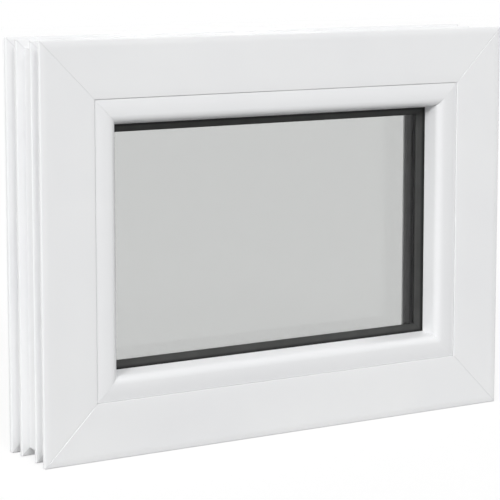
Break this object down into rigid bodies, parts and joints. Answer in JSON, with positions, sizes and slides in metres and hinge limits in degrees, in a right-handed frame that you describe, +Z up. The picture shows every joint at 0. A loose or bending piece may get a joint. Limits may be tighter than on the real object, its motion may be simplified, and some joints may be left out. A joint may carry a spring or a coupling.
{
  "type": "fixed basement window",
  "caption": "Small fixed window with a mitred white plastic frame, rounded glazing beads, black gaskets and a sealed double-glazed unit.",
  "frame": {"origin": "middle of the lower edge, at mid depth of the frame", "axes": "+X along the width, +Y from the room side (glazing beads) to the weather side, +Z up"},
  "size_m": [0.4, 0.058, 0.3],
  "materials": {
    "white_plastic": "smooth satin white rigid plastic",
    "gasket_rubber": "matt black rubber",
    "clear_glass": "clear float glass, very slightly grey",
    "dark_spacer": "matt dark grey spacer bar",
    "packer_plastic": "plain moulded plastic"
  },
  "bodies": {
    "root": {"frame_sill": "white_plastic", "frame_head": "white_plastic", "frame_jamb_left": "white_plastic", "frame_jamb_right": "white_plastic", "glazing_bead_bottom": "white_plastic", "glazing_bead_top": "white_plastic", "glazing_bead_left": "white_plastic", "glazing_bead_right": "white_plastic", "bead_gasket_bottom": "gasket_rubber", "bead_gasket_top": "gasket_rubber", "bead_gasket_left": "gasket_rubber", "bead_gasket_right": "gasket_rubber", "lip_gasket_bottom": "gasket_rubber", "lip_gasket_top": "gasket_rubber", "lip_gasket_left": "gasket_rubber", "lip_gasket_right": "gasket_rubber", "room_pane": "clear_glass", "weather_pane": "clear_glass", "spacer_bottom": "dark_spacer", "spacer_top": "dark_spacer", "spacer_left": "dark_spacer", "spacer_right": "dark_spacer", "packer_left": "packer_plastic", "packer_right": "packer_plastic"}
  },
  "joints": []
}
